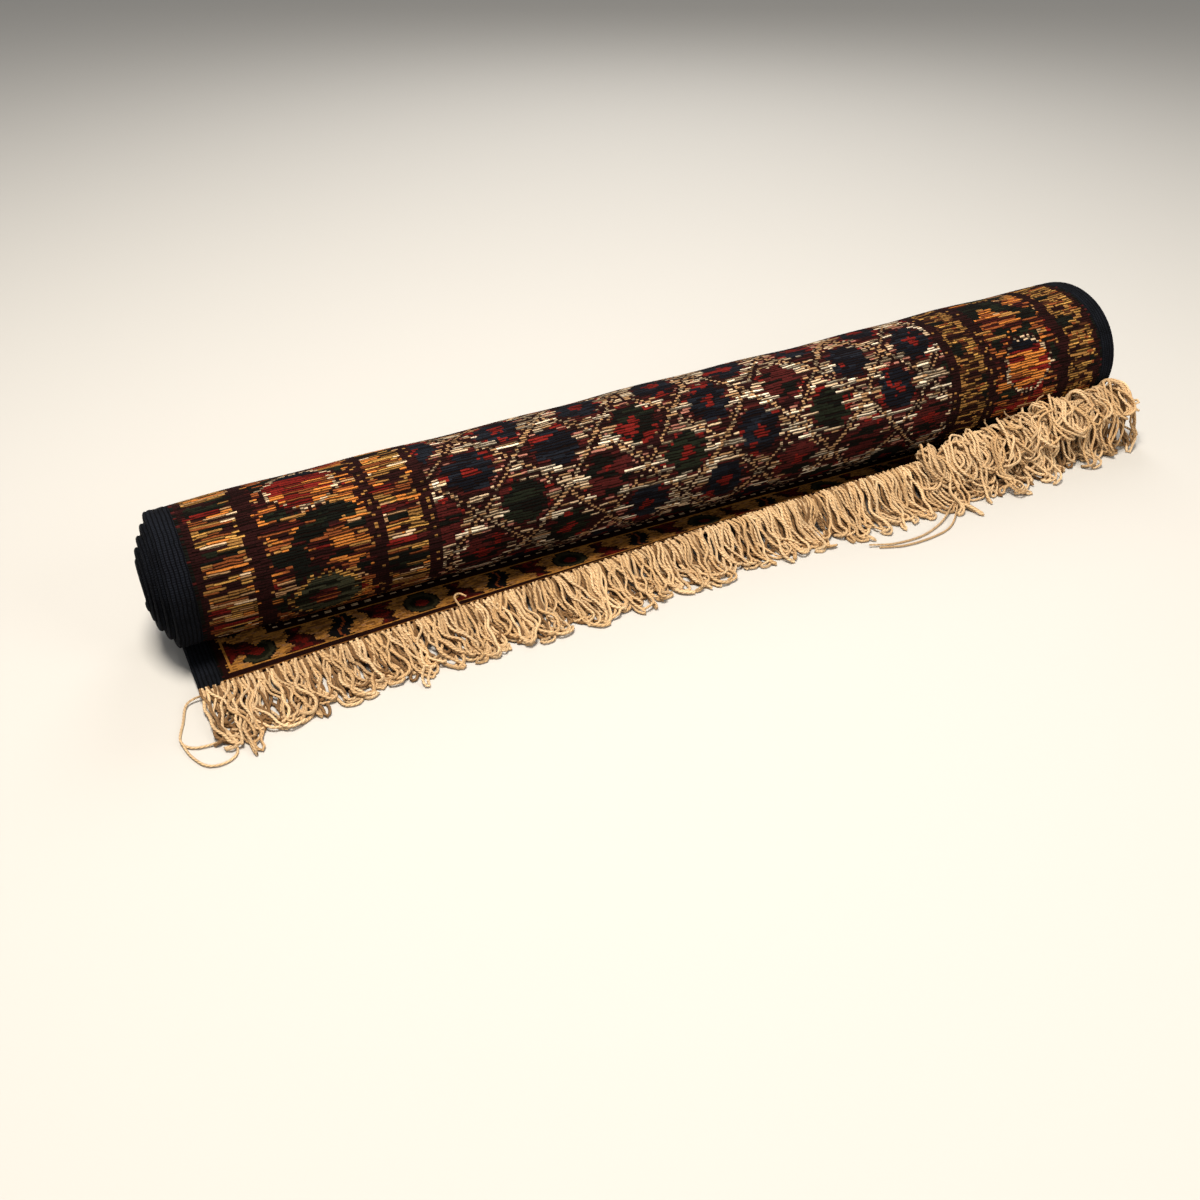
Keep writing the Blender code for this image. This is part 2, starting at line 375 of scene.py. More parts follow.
def field(u, smear_u, v, tone, kind):
    """A lattice of cream lines over a wine ground, with a rosette in each diamond."""
    p = (u - 275.0) / DIAMOND_WIDE
    q = (v - 262.0) / DIAMOND_TALL
    zigzag = 0.030 * (np.abs(np.mod((v + u) / 5.0, 2.0) - 1.0) - 0.5)
    a = p + q + zigzag
    b = p - q + zigzag
    cell_a, cell_b = np.round(a), np.round(b)
    fa, fb = a - cell_a, b - cell_b
    du = 0.5 * (fa + fb) * DIAMOND_WIDE + 0.7 * (smear_u - u)
    dv = 0.5 * (fa - fb) * DIAMOND_TALL
    colour = ground_of(kind, "plum")
    edge = np.minimum(u, RUG_WIDTH * 1000.0 - u) - SELVEDGE_MM - FIELD_START
    light = 0.60 + 0.36 * (soft_noise(u / 26.0, v / 18.0) - 0.5) + 0.22 * np.exp(-edge / 24.0)
    # Near v = 225 mm, along the top of the roll, more strokes are pale: partly the wool's own,
    # partly painted highlight from the light above.
    light = light + 0.14 * np.exp(-(((v - 225.0) / 26.0) ** 2))
    colour[kind < 0.10] = WOOL["wine"]
    colour[kind > 1.0 - light] = WOOL["dusty_rose"]
    colour[kind > 1.0 - 0.82 * light] = WOOL["tan"]
    colour[kind > 1.0 - 0.60 * light] = WOOL["cream"]
    colour[kind > 1.0 - 0.20 * light] = WOOL["ivory"]
    pick = cell_value(cell_a, cell_b)
    turn = np.arctan2(dv, du)
    r = np.sqrt((du / 15.5) ** 2 + (dv / 15.5) ** 2) * (1.0 + 0.09 * np.cos(8.0 * turn))
    ring = (r < 1.24) & (kind < 0.80)
    colour[ring] = WOOL["wine"]
    red = soft_noise(u / 11.0 + 5.0, v / 11.0)
    colour[ring & (kind < 0.30)] = WOOL["plum"]
    colour[ring & (red + 0.3 * tone > 0.85)] = WOOL["crimson"]
    body = r < 1.06
    blue, green = body & (pick < 0.5), body & (pick >= 0.5)
    colour[blue] = WOOL["navy"]
    colour[blue & (tone > 0.55)] = WOOL["steel"]
    colour[green] = WOOL["green_black"]
    colour[green & (tone > 0.55)] = WOOL["dark_green"]
    colour[body & (pick >= 0.84) & (tone > 0.40)] = WOOL["wine"]
    colour[body & (red + 0.2 * tone > 0.96)] = WOOL["crimson"]
    heart = (r < 0.36) & (np.mod(pick * 10.0, 1.0) > 0.30)
    colour[heart] = WOOL["crimson"]
    near = np.minimum(0.5 - np.abs(fa), 0.5 - np.abs(fb))
    colour[(near < 0.068) & (kind < 0.85)] = WOOL["plum"]
    colour[near < 0.025] = WOOL["cream"]
    colour[(near < 0.025) & (tone > 0.45)] = WOOL["tan"]
    return colour


def design(u, v, smear_u, tone, kind, woven_back):
    """The colour of each knot. u and v are in mm from the left edge and from the fringed end."""
    width = RUG_WIDTH * 1000.0
    side = np.minimum(u, width - u) - SELVEDGE_MM
    end = v - END_MM
    deep = np.minimum(side, end)
    place = np.where(side < end, v, u)
    smear_side = np.minimum(smear_u, width - smear_u) - SELVEDGE_MM
    smear_deep = np.where(side < end, smear_side, end)
    on_right = (u > 0.5 * width) & (side < end)
    colour = ground_of(tone, "plum")
    colour[(deep < 0.0) & (side < end)] = WOOL["green_black"]
    colour[(deep < -1.4) & (side < end) & (tone > 0.35)] = WOOL["wine"]
    colour[between(deep, (-2.4, -0.6)) & (side >= end)] = WOOL["ochre"]

    def lay(band, made):
        here = between(deep, band)
        colour[here] = made[here]

    pull = 0.35 if woven_back else 1.0
    across = (smear_deep - GUARD[0]) / (GUARD[1] - GUARD[0])
    straight = (deep - GUARD[0]) / (GUARD[1] - GUARD[0])
    across = np.where(side < end, 0.5 + (across - 0.5) * pull, straight)
    if woven_back:
        gold = guard_strokes(place, across, tone, kind)
        meander = guard_meander(place, straight + 0.05 * (tone - 0.5), kind)
        gold = np.where(on_right[..., None], meander, gold)
        ragged = (straight < 0.02 + 0.12 * tone) | (straight > 0.99 - 0.12 * kind)
        gold[ragged & (side < end)] = WOOL["plum"]
    else:
        gold = guard_motifs(place - np.where(side < end, 0.0, 43.0), across, tone)
    lay(GUARD, gold)

    dash = np.mod(place, DASH_PITCH) < DASH_LENGTH
    if not woven_back:
        colour[between(deep, DASH_LINE) & dash] = WOOL["ivory"]
    middle = 0.5 * (MAIN_BORDER[0] + MAIN_BORDER[1])
    drawn = 0.7 * deep + 0.3 * smear_deep - middle
    lay(MAIN_BORDER, main_border(place, drawn, tone, kind, on_right))
    second = between(deep, (MAIN_BORDER[0] + 0.6, MAIN_BORDER[0] + 2.0))
    colour[second & dash & (tone > 0.55)] = WOOL["ochre"]
    small = between(deep, SMALL_DASHES) & (np.mod(place, 9.0) < 4.4) & (tone > 0.35)
    colour[small] = WOOL["ochre"]
    inner = (deep - INNER_GUARD[0]) / (INNER_GUARD[1] - INNER_GUARD[0])
    if woven_back:
        gold = guard_strokes(place + 60.0, 0.5 + (inner - 0.5) * pull, tone, kind)
        gold = np.where(on_right[..., None], guard_meander(place + 3.0, inner, kind), gold)
        gold[(inner < 0.02 + 0.10 * tone) | (inner > 0.98 - 0.10 * kind)] = WOOL["plum"]
    else:
        gold = guard_motifs(place + 40.0, inner, kind)
    lay(INNER_GUARD, gold)
    specks = between(deep, SPECK_LINE) & (np.mod(place, 7.0) < 2.6) & (kind > 0.5)
    colour[specks] = WOOL["ochre"]
    lay((FIELD_START, math.inf), field(u, smear_u, v, tone, kind))
    return colour


# ---- making meshes ----


def path_lengths(points):
    """How far along a line each of its points lies; the points run along the last axis but one."""
    steps = np.linalg.norm(np.diff(points, axis=-2), axis=-1)
    return np.concatenate([np.zeros(steps.shape[:-1] + (1,)), np.cumsum(steps, axis=-1)], -1)


def deselect_all():
    bpy.ops.object.select_all(action="DESELECT")


def select_only(obj):
    """Makes this the only selected object, and the active one."""
    deselect_all()
    obj.select_set(True)
    bpy.context.view_layer.objects.active = obj


def edit(obj, selected, *steps):
    """Runs edit-mode operators, with all of the mesh selected at first or none of it."""
    select_only(obj)
    bpy.ops.object.mode_set(mode="EDIT")
    bpy.ops.mesh.select_all(action="SELECT" if selected else "DESELECT")
    for operator, settings in steps:
        operator(**settings)
    bpy.ops.object.mode_set(mode="OBJECT")


def flat_grid(name, columns, rows):
    """A flat grid, and where its points lie on it as shares from 0 to 1."""
    deselect_all()
    bpy.ops.mesh.primitive_grid_add(x_subdivisions=columns, y_subdivisions=rows, size=2.0)
    obj = bpy.context.object
    obj.name = name
    obj.data.name = name
    places = np.empty(len(obj.data.vertices) * 3)
    obj.data.vertices.foreach_get("co", places)
    shares = 0.5 * (places.reshape(-1, 3)[:, :2] + 1.0)
    return obj, shares[:, 0], shares[:, 1]


def face_shares(obj):
    """Where the faces of a flat grid lie on it, as shares from 0 to 1."""
    centres = np.empty(len(obj.data.polygons) * 3)
    obj.data.polygons.foreach_get("center", centres)
    shares = 0.5 * (centres.reshape(-1, 3)[:, :2] + 1.0)
    return shares[:, 0], shares[:, 1]


def corner_points(obj):
    """The mesh point that each face corner stands on."""
    index = np.empty(len(obj.data.loops), np.int32)
    obj.data.loops.foreach_get("vertex_index", index)
    return index


def write_uv(obj, u, v):
    """A UV map in metres, from values at the mesh's points."""
    layer = obj.data.uv_layers.active or obj.data.uv_layers.new(name="UVMap")
    index = corner_points(obj)
    layer.data.foreach_set("uv", np.stack([u[index], v[index]], -1).ravel())


def write_corners(obj, name, values):
    """An attribute of four values for each face corner."""
    layer = obj.data.color_attributes.new(name=name, type="FLOAT_COLOR", domain="CORNER")
    layer.data.foreach_set("color", values.ravel())


def write_colours(obj, colours):
    """One colour for each four-sided face."""
    full = np.concatenate([colours, np.ones((len(colours), 1))], 1)
    write_corners(obj, "Knots", np.repeat(full, 4, axis=0))


def write_strokes(obj, across, stroke):
    """Where each corner lies along its stroke, and the stroke's two random values."""
    start, length, tone, kind = (np.repeat(values, 4) for values in stroke)
    share = (across[corner_points(obj)] - start) / length
    values = np.stack([share, tone, kind, np.ones_like(share)], -1)
    write_corners(obj, "Strokes", values)


def apply_thickness(obj, faces_turned):
    """Turns an open surface into cloth, which lies below its face."""
    if faces_turned:
        edit(obj, True, (bpy.ops.mesh.flip_normals, {}))
    solid = obj.modifiers.new("thickness", "SOLIDIFY")
    solid.thickness = CLOTH_THICK
    solid.offset = -1.0
    select_only(obj)
    bpy.ops.object.modifier_apply(modifier=solid.name)


def face_outwards(obj):
    edit(obj, True, (bpy.ops.mesh.normals_make_consistent, {"inside": False}))


def close_ends(obj):
    """Fills the open ends of tubes."""
    edit(
        obj,
        False,
        (bpy.ops.mesh.select_mode, {"type": "EDGE"}),
        (bpy.ops.mesh.select_non_manifold, {}),
        (bpy.ops.mesh.fill_holes, {"sides": 8}),
        (bpy.ops.mesh.select_mode, {"type": "VERT"}),
    )


def smooth_shaded(obj, degrees=50.0):
    select_only(obj)
    bpy.ops.object.shade_smooth_by_angle(angle=math.radians(degrees))


def mesh_object(name, points, faces):
    """A new object in the scene, from points and faces."""
    mesh = bpy.data.meshes.new(name)
    mesh.from_pydata(points.tolist(), [], faces)
    mesh.update()
    obj = bpy.data.objects.new(name, mesh)
    bpy.context.scene.collection.objects.link(obj)
    return obj


# ---- materials ----


class Nodes:
    """Short calls for building one material's nodes."""

    def __init__(self, name):
        self.material = bpy.data.materials.new(name)
        self.material.use_nodes = True
        self.tree = self.material.node_tree
        self.shader = self.tree.nodes["Principled BSDF"]

    def add(self, kind, **settings):
        node = self.tree.nodes.new(kind)
        for key, value in settings.items():
            setattr(node, key, value)
        return node

    def link(self, source, target):
        self.tree.links.new(source, target)

    def put(self, value, socket):
        if isinstance(value, bpy.types.NodeSocket):
            self.link(value, socket)
        else:
            socket.default_value = value

    def fill(self, node, values):
        for name, value in values.items():
            self.put(value, node.inputs[name])

    def math(self, operation, a, b=0.0):
        node = self.add("ShaderNodeMath", operation=operation)
        for value, socket in zip((a, b), node.inputs):
            self.put(value, socket)
        return node.outputs[0]

    def off_centre(self, value):
        """How far the value is from the middle of its whole step, from 0 to 0.5."""
        return self.math("ABSOLUTE", self.math("SUBTRACT", self.math("FRACT", value), 0.5))

    def swing(self, value, amount):
        """The value turned about 0.5 and scaled, so that it goes both ways."""
        return self.math("MULTIPLY", self.math("SUBTRACT", value, 0.5), amount)

    def places(self):
        """The two UV coordinates in metres, and the place in the object."""
        place = self.add("ShaderNodeTexCoord")
        split = self.add("ShaderNodeSeparateXYZ")
        self.link(place.outputs["UV"], split.inputs[0])
        return split.outputs["X"], split.outputs["Y"], place.outputs["Object"]

    def corner_colour(self, name):
        return self.add("ShaderNodeVertexColor", layer_name=name).outputs["Color"]

    def mix(self, share, a, b, blend="MIX"):
        node = self.add("ShaderNodeMix", data_type="RGBA", blend_type=blend)
        self.put(share, node.inputs["Factor"])
        self.put(a, node.inputs[6])
        self.put(b, node.inputs[7])
        return node.outputs[2]

    def noise(self, coordinates, scale, detail=2.0, roughness=0.5):
        node = self.add("ShaderNodeTexNoise")
        values = {"Vector": coordinates, "Scale": scale, "Detail": detail, "Roughness": roughness}
        self.fill(node, values)
        return node.outputs["Fac"]

    def ramp(self, value, low, high, at_low=0.0, at_high=1.0):
        node = self.add("ShaderNodeMapRange", interpolation_type="SMOOTHSTEP")
        self.fill(node, {"Value": value, "From Min": low, "From Max": high})
        self.fill(node, {"To Min": at_low, "To Max": at_high})
        return node.outputs["Result"]

    def bump(self, height, distance, strength, under=None):
        node = self.add("ShaderNodeBump")
        self.fill(node, {"Strength": strength, "Distance": distance, "Height": height})
        if under is not None:
            self.link(under, node.inputs["Normal"])
        return node.outputs["Normal"]

    def finish(self, colour, roughness, normal, specular, sheen=0.0):
        self.fill(self.shader, {"Base Color": colour, "Roughness": roughness, "Normal": normal})
        self.fill(self.shader, {"Metallic": 0.0, "Specular IOR Level": specular})
        self.fill(self.shader, {"Sheen Weight": sheen, "Sheen Roughness": 0.6})
        return self.material


def wool_material(name, knot_pitch, gap_shade, row_bump, in_strokes):
    """Knotted wool: the knots' colours, painted shade in the gaps between rows, and a bump for rows
    and knots.
    """
    n = Nodes(name)
    colour = n.corner_colour("Knots")
    u, v, spot = n.places()
    wave = n.swing(n.noise(spot, 90.0, 3.0, 0.6), 1.1)
    row = n.math("ADD", n.math("DIVIDE", v, ROW_PITCH), wave)
    if in_strokes:
        stroke = n.add("ShaderNodeSeparateColor")
        n.link(n.corner_colour("Strokes"), stroke.inputs[0])
        row = n.math("ADD", row, n.swing(stroke.outputs[2], 0.46))
    row_off = n.off_centre(row)
    if in_strokes:  # each stroke has its own thickness, and its ends are a little thinner
        end = n.math("ABSOLUTE", n.math("SUBTRACT", stroke.outputs[0], 0.5))
        taper = n.ramp(end, 0.40, 0.5, 0.0, 0.14)
        slim = n.math("MULTIPLY", n.math("SUBTRACT", 0.70, stroke.outputs[1]), 0.26)
        bright = n.add("ShaderNodeRGBToBW")
        n.link(colour, bright.inputs[0])
        fine = n.ramp(bright.outputs[0], 0.02, 0.35, -0.06, 0.09)
        row_off = n.math("ADD", row_off, n.math("ADD", fine, n.math("ADD", taper, slim)))
    knot_off = n.off_centre(n.math("DIVIDE", u, knot_pitch))
    ridge = n.ramp(row_off, 0.22, 0.46, 1.0, 0.0)
    bead = n.ramp(knot_off, 0.30, 0.5, 1.0, 0.70)
    fibre = n.noise(spot, 1400.0, 3.0, 0.6)
    worn = n.noise(spot, 26.0, 3.0, 0.6)
    fine_shade = n.ramp(fibre, 0.25, 0.75, 0.72, 1.18)
    shade = n.math("MULTIPLY", fine_shade, n.ramp(worn, 0.3, 0.7, 0.82, 1.14))
    tint = n.add("ShaderNodeCombineColor")
    for socket in tint.inputs[:3]:
        n.link(shade, socket)
    colour = n.mix(1.0, colour, tint.outputs[0], "MULTIPLY")
    # painted shade in the gaps between the rows of knots
    dark = n.mix(gap_shade, colour, (0.0050, 0.0022, 0.0015, 1.0))
    colour = n.mix(ridge, dark, colour)
    height = n.math("MULTIPLY", ridge, bead)
    under = n.bump(fibre, 0.0003, 0.3)
    normal = n.bump(height, row_bump, 1.0, under)
    return n.finish(colour, n.ramp(fibre, 0.2, 0.8, 0.82, 0.96), normal, specular=0.035)


def selvedge_material():
    """Blue-black wool wound over the side cords: fine wraps across them."""
    n = Nodes("overcast_wool")
    u, v, spot = n.places()
    wave = n.math("MULTIPLY", n.noise(spot, 220.0), 0.7)
    wraps = n.math("ADD", n.math("DIVIDE", v, WRAP_PITCH), wave)
    ridge = n.ramp(n.off_centre(wraps), 0.18, 0.5, 1.0, 0.0)
    sway = n.math("MULTIPLY", n.noise(spot, 70.0, 3.0, 0.6), 0.8)
    cord = n.math("ADD", n.math("DIVIDE", u, SELVEDGE / SELVEDGE_CORDS), sway)
    groove = n.ramp(n.off_centre(cord), 0.25, 0.5, 1.0, 0.0)
    patch = n.ramp(n.noise(spot, 45.0, 3.0, 0.6), 0.35, 0.65)
    fibre = n.noise(spot, 1500.0, 3.0, 0.6)
    colour = n.mix(patch, (0.0030, 0.0034, 0.0048, 1.0), (0.0065, 0.0078, 0.0115, 1.0))
    colour = n.mix(n.ramp(fibre, 0.45, 0.8), colour, (0.015, 0.017, 0.023, 1.0))
    raised = n.math("MULTIPLY", n.math("ADD", n.math("MULTIPLY", ridge, 0.5), 0.5), groove)
    # painted shade in the grooves between the cords and between the wraps
    colour = n.mix(raised, (0.0010, 0.0010, 0.0014, 1.0), colour)
    normal = n.bump(raised, 0.0006, 1.0, n.bump(fibre, 0.0003, 0.4))
    return n.finish(colour, 0.9, normal, specular=0.04)


def cotton_material(name, shade):
    """Cream cotton cord: plies that wind along it, paler and darker from cord to cord.

    shade is multiplied in; it is white for cords that lie on top.
    """
    n = Nodes(name)
    u, v, spot = n.places()
    turn = n.math("ADD", n.math("MULTIPLY", u, 3.0), n.math("DIVIDE", v, PLY_PITCH))
    ply = n.ramp(n.off_centre(turn), 0.10, 0.5, 1.0, 0.0)
    fibre = n.noise(spot, 2200.0, 3.0, 0.65)
    soil = n.ramp(n.noise(spot, 60.0, 3.0, 0.6), 0.35, 0.70, 0.0, 0.45)
    colour = n.mix(soil, n.corner_colour("Knots"), (0.40, 0.245, 0.120, 1.0))
    # painted shade in the grooves between the plies
    colour = n.mix(n.ramp(ply, 0.0, 0.5, 0.45, 0.0), colour, (0.27, 0.145, 0.060, 1.0))
    colour = n.mix(n.ramp(fibre, 0.5, 0.8, 0.0, 0.25), colour, (0.85, 0.70, 0.50, 1.0))
    colour = n.mix(1.0, colour, shade, "MULTIPLY")
    normal = n.bump(ply, 0.0005, 0.8, n.bump(fibre, 0.0002, 0.4))
    return n.finish(colour, 0.86, normal, sheen=0.04, specular=0.15)


# ---- the pieces ----


def knot_cloth(name, columns, rows, place, knots, seed, strokes, material, woven_back):
    """A stretch of knotted cloth: one face for each knot of the woven side.

    From shares across and down it, place gives its points, and knots the place on the rug in mm.
    """
    obj, across, down = flat_grid(name, columns, rows)
    face_across, face_down = face_shares(obj)
    column = np.clip((face_across * columns).astype(int), 0, columns - 1)
    row = np.clip((face_down * rows).astype(int), 0, rows - 1)
    write_uv(obj, across * CLOTH_WIDTH, down * rows * ROW_PITCH)
    obj.data.vertices.foreach_set("co", place(across, down).ravel())
    obj.data.update()
    rng = np.random.default_rng(seed)
    u, v = knots(face_across, face_down)
    knot = CLOTH_WIDTH * 1000.0 / columns
    stroke = strokes_of(rng, rows, columns, knot, *strokes)[:, row, column]
    start, length, tone, kind = stroke
    write_strokes(obj, across * columns * knot, stroke)
    stroke_u = SELVEDGE * 1000.0 + start + 0.5 * length
    pull = 0.55 if woven_back else 0.0
    shift = rng.normal(0.0, 1.5 if woven_back else 0.25, rows)[row]
    smear = u + pull * (stroke_u - u) + shift
    zone = u + 0.5 * shift
    if woven_back:
        tone = in_patches(tone, stroke_u / 17.0, v / 6.0 + 50.0, 0.45)
        kind = in_patches(kind, stroke_u / 15.0 + 30.0, v / 5.0, 0.40)
    colours = design(zone, v, smear, tone, kind, woven_back)
    if not woven_back:
        # the pile's own darker, browner colour together with painted shade from the roll over the
        # loose end
        colours = colours * PILE_TONE_AND_SHADE
    vary = 1.0 + rng.normal(0.0, 0.08, len(colours)) + 0.45 * (tone - 0.5)
    write_colours(obj, np.clip(colours * np.clip(vary, 0.5, 1.6)[:, None], 0.0, 1.0))
    obj.data.materials.append(material)
    apply_thickness(obj, faces_turned=woven_back)
    smooth_shaded(obj)
    return obj


def cloth_u(across):
    """The place across the rug, from a share of the width between the selvedges."""
    return SELVEDGE + across * CLOTH_WIDTH


def outer_turn(material):
    """The turn that shows: the woven back, knot by knot."""

    def place(across, down):
        return on_roll(cloth_u(across), down, 0.0)

    def knots(across, down):
        u = cloth_u(across)
        wound = OUTER_TURN_START + OUTER_TURN_RADIUS * 2.0 * np.pi * down
        v = wound + DESIGN_SKEW * (u - 0.5 * RUG_WIDTH)
        return u * 1000.0, v * 1000.0

    columns = int(CLOTH_WIDTH / BACK_KNOT)
    return knot_cloth(
        "carpet_outer_turn", columns, BACK_ROWS, place, knots, 11, BACK_STROKES, material, True
    )


def inner_turns(material):
    """The other turns, down to the hollow core."""

    def place(across, down):
        return on_roll(cloth_u(across), 1.0 + down * (TURNS - 1.0), 0.0)

    def knots(across, down):
        return cloth_u(across) * 1000.0, INNER_TURNS_START + down * INNER_TURNS_SPAN

    columns, rows = INNER_KNOTS_ACROSS, INNER_ROWS
    return knot_cloth(
        "carpet_inner_turns", columns, rows, place, knots, 12, INNER_STROKES, material, True
    )


def loose_end(material):
    """The stretch in front of the roll, which shows its pile."""

    def place(across, down):
        return on_loose_end(cloth_u(across), down, 0.0)

    def knots(across, down):
        u = cloth_u(across)
        steps = 199
        line = on_loose_end(u[:, None], np.linspace(0.0, 1.0, steps + 1)[None, :], 0.0)
        length = path_lengths(line)
        index = np.clip((down * steps).astype(int), 0, steps)
        return u * 1000.0, length[np.arange(len(u)), index] * 1000.0

    columns = int(CLOTH_WIDTH / PILE_KNOT)
    return knot_cloth(
        "carpet_loose_end", columns, PILE_ROWS, place, knots, 13, PILE_STROKES, material, False
    )


def selvedge_ring(points_round=44):
    """The outline of an overcast edge: (from the outer edge, below the outer face), in metres."""
    angle = np.linspace(0.0, 2.0 * np.pi, points_round, endpoint=False)
    half_wide = 0.5 * SELVEDGE + 0.0006
    half_thick = 0.5 * CLOTH_THICK + 0.00015
    wide = np.sign(np.cos(angle)) * np.abs(np.cos(angle)) ** 0.45
    thick = np.sign(np.sin(angle)) * np.abs(np.sin(angle)) ** 0.60
    rib = 0.00060 * (np.abs(np.sin(0.5 * np.pi * SELVEDGE_CORDS * (wide + 1.0))) - 0.5)
    across = half_wide * (1.0 + wide)
    depth = 0.5 * CLOTH_THICK - (half_thick + rib) * thick
    return across, depth


def selvedge(name, right, material):
    """One overcast edge, from the fringe along the loose end and through all the turns."""
    across, depth = selvedge_ring()
    u = RUG_WIDTH - across if right else across
    rings = [on_loose_end(u, share, depth) for share in np.linspace(0.0, 1.0, 22)[:-1]]
    rings += [on_roll(u, turns, depth) for turns in np.linspace(0.0, TURNS, TURNS * 72 + 1)]
    rings = np.array(rings)
    rings[:, :, 2] = np.maximum(rings[:, :, 2], 0.0001)
    lengths = path_lengths(rings.mean(axis=1))
    count, sides = rings.shape[:2]
    faces = tube_faces(count, sides).tolist()
    faces.append(tuple(range(sides)))
    faces.append(tuple(range((count - 1) * sides, count * sides)))
    obj = mesh_object(name, rings.reshape(-1, 3), faces)
    write_uv(obj, np.tile(across, count), np.repeat(lengths, sides))
    face_outwards(obj)
    obj.data.materials.append(material)
    smooth_shaded(obj, 60.0)
    return obj


def tube_faces(count, sides):
    """The four-sided faces between rings of points, ring by ring."""
    i, j = np.meshgrid(np.arange(count - 1), np.arange(sides), indexing="ij")
    k = (j + 1) % sides
    this, following = i * sides, (i + 1) * sides
    return np.stack([this + j, this + k, following + k, following + j], -1).reshape(-1, 4)


def tube(line, radius, sides=6):
    """Points and faces of a tube along a line, with its UV values."""
    line = np.asarray(line, float)
    ahead = np.gradient(line, axis=0)
    ahead /= np.linalg.norm(ahead, axis=1)[:, None] + 1e-12
    side = np.zeros_like(line)
    guess = np.array([0.0, 0.0, 1.0]) if abs(ahead[0][2]) < 0.8 else np.array([1.0, 0.0, 0.0])
    for i, direction in enumerate(ahead):
        guess = guess - direction * guess.dot(direction)
        guess /= np.linalg.norm(guess) + 1e-12
        side[i] = guess
    up = np.cross(ahead, side)
    angle = np.linspace(0.0, 2.0 * np.pi, sides, endpoint=False)
    ring = side[:, None] * np.cos(angle)[None, :, None] + up[:, None] * np.sin(angle)[None, :, None]
    points = (line[:, None] + radius * ring).reshape(-1, 3)
    u = np.tile(angle / (2.0 * np.pi), len(line))
    return points, tube_faces(len(line), sides), u, np.repeat(path_lengths(line), sides)


def smooth_line(points, count):
    """A smooth line through a few points, as evenly spaced points."""
    points = np.asarray(points, float)
    padded = np.vstack([2 * points[0] - points[1], points, 2 * points[-1] - points[-2]])
    made = []
    for a, b, c, d in zip(padded, padded[1:], padded[2:], padded[3:]):
        square = 2 * a - 5 * b + 4 * c - d
        cube = 3 * b - a - 3 * c + d
        for t in np.linspace(0.0, 1.0, 12, endpoint=False):
            made.append(0.5 * (2 * b + (c - a) * t + square * t**2 + cube * t**3))
    made = np.array(made + [points[-1]])
    length = path_lengths(made)
    at = np.linspace(0.0, length[-1], count)
    return np.stack([np.interp(at, length, made[:, k]) for k in range(3)], 1)


def ease(share):
    """Goes from 0 to 1 with a soft start and a soft end."""
    share = np.clip(share, 0.0, 1.0)
    return share * share * (3.0 - 2.0 * share)


def wandering_line(rng, u, mess, low):
    """The middle line of one loop: over the edge, down to the floor and away from the roll.

    mess goes from 0, side by side with the others, to 1, tangled; low is for a loop beneath them.
    """
    reach, lift, run = (station(u, column) for column in (1, 2, 3))
    share = np.linspace(0.0, 1.0, LOOP_POINTS)
    hump = mess * rng.uniform(0.0, 0.014)
    start = lift + 0.75 * CLOTH_THICK
    loose = rng.uniform(1.04, 1.20) + mess * rng.uniform(0.2, 0.7)
    length = run * (1.0 - 0.18 * mess) * rng.uniform(0.76, 0.99) + 0.35 * start
    length = (length * loose + 1.2 * hump) * (0.86 if low else 1.0)
    step = length / (LOOP_POINTS - 1)
    fall = 0.012 + 1.25 * (start + hump)
    rise = hump * np.sin(np.pi * np.clip(share * length / fall, 0.0, 1.0)) ** 0.8
    heap = (0.2 if low else 1.0) * rng.uniform(0.0, 0.0060 + 0.008 * mess)
    heap = heap * np.sin(np.pi * share) ** 0.8
    z = start * (1.0 - ease(share * length / fall)) + rise + heap + CORD_RADIUS
    flat = np.sqrt(np.maximum(step**2 - np.gradient(z) ** 2, (0.30 * step) ** 2))
    swing = 1.25 * math.sqrt(2.0 * (1.0 - 1.0 / loose))  # the more spare length, the more it sways
    slow, quick = rng.uniform(0.6, 1.4), rng.uniform(2.0, 3.2)
    phase = rng.uniform(0.0, 2.0 * np.pi, 2)
    heading = 0.60 * np.sin(2.0 * np.pi * slow * share + phase[0])
    heading += 0.55 * np.sin(2.0 * np.pi * quick * share + phase[1])
    heading = heading * swing * ease(share / 0.20) + rng.normal(0.0, 0.17 + 0.40 * mess)
    coil = np.sin(2.0 * np.pi * rng.uniform(1.4, 2.6) * share + phase[0])
    heading += 1.5 * mess * coil * ease(share / 0.2)
    hook = rng.choice([-1.0, 1.0]) * rng.uniform(0.0, 4.4)
    heading += hook * ease((share - 0.78) / 0.22) ** 1.4
    x = u + np.cumsum(np.sin(heading) * flat)
    forward = np.cumsum(np.cos(heading) * flat) - flat[0]
    forward = np.clip(forward, -0.010 * mess, 1.22 * run)
    return np.stack([x, -(reach - 0.0015 + forward), z], -1)


def arching_line(rng, u):
    """The middle line of a loop that is turned up: back over the edge, forward and round."""
    start = station(u, 2) + 0.75 * CLOTH_THICK
    reach = station(u, 1) - 0.0015
    height = rng.uniform(0.003, 0.015)
    lean = rng.normal(0.0, 0.006)
    bend = rng.choice([-1.0, 1.0])
    route = [  # across, in front of the edge, above it
        (0.0, 0.0, 0.0),
        (0.5 * lean, -0.2 * height, 0.7 * height),
        (lean + 0.002 * bend, rng.uniform(-0.003, 0.004), height),
        (1.5 * lean + 0.006 * bend, 0.010, 0.7 * height),
        (1.6 * lean + 0.008 * bend, 0.018, -0.001),
        (1.4 * lean + 0.001 * bend, rng.uniform(0.020, 0.031), -0.009),
        (1.2 * lean - 0.008 * bend, rng.uniform(0.014, 0.029), -0.013),
        (lean - 0.011 * bend, rng.uniform(0.008, 0.020), -0.008),
    ]
    route = np.array(route) * np.array([1.0, -1.0, 1.0]) + rng.normal(0.0, 0.0009, (8, 3))
    return smooth_line(route + np.array([u, -reach, start]), LOOP_POINTS)


